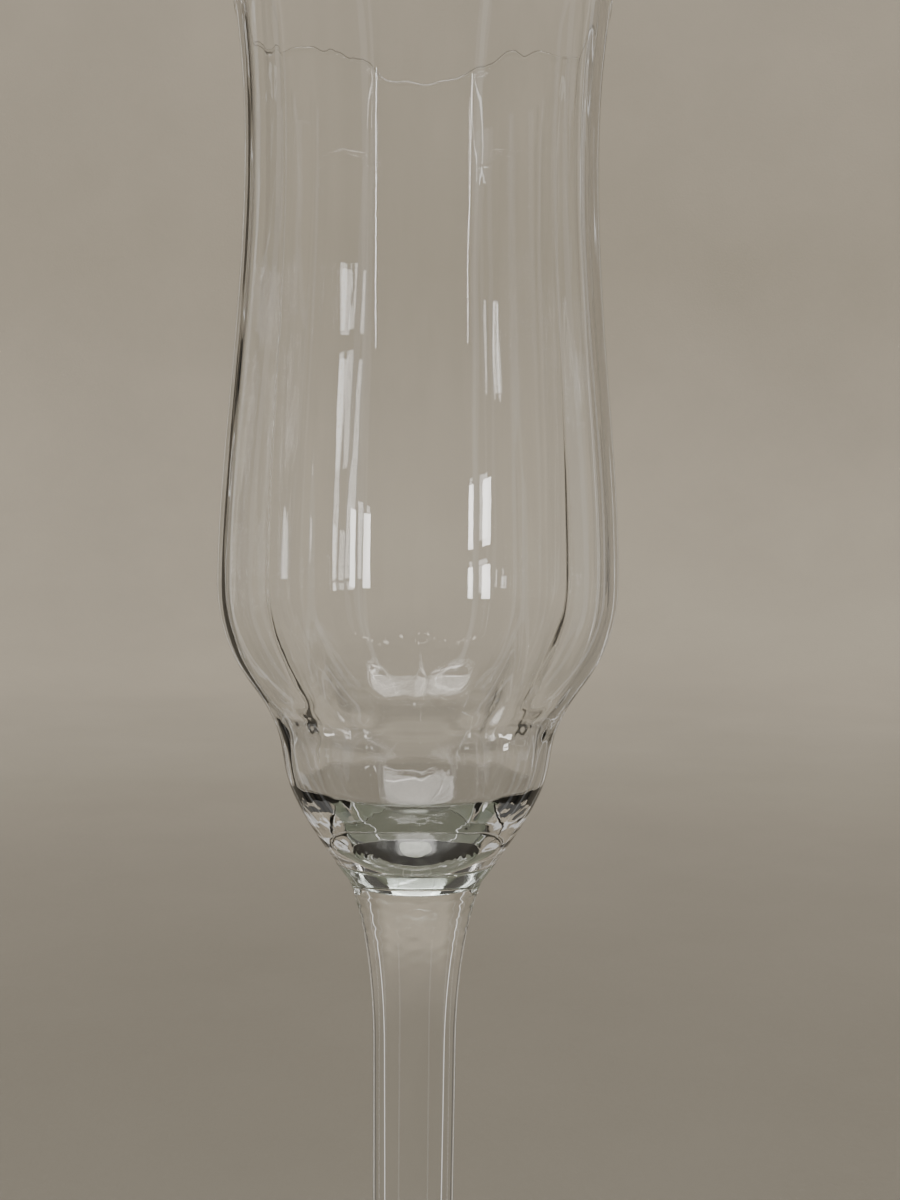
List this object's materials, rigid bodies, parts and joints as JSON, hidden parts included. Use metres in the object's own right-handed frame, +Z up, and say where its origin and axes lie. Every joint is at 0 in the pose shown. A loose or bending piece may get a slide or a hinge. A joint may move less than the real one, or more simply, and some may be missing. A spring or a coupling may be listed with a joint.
{
  "type": "champagne flute",
  "caption": "Clear glass champagne flute: lobed tulip bowl with a pinched waist and scalloped rim, small collar, solid drawn stem and round foot.",
  "frame": {"origin": "centre of the circle the foot stands on, at the table surface", "axes": "+Z up along the stem and bowl axis, -Y towards the middle of one lobe of the bowl, +X to the right seen from -Y"},
  "size_m": [0.068, 0.068, 0.23],
  "materials": {
    "bowl_glass": "polished clear glass",
    "stem_glass": "polished clear glass",
    "foot_glass": "polished clear glass"
  },
  "bodies": {
    "root": {"bowl": "bowl_glass", "collar": "stem_glass", "stem": "stem_glass", "foot": "foot_glass"}
  },
  "joints": []
}
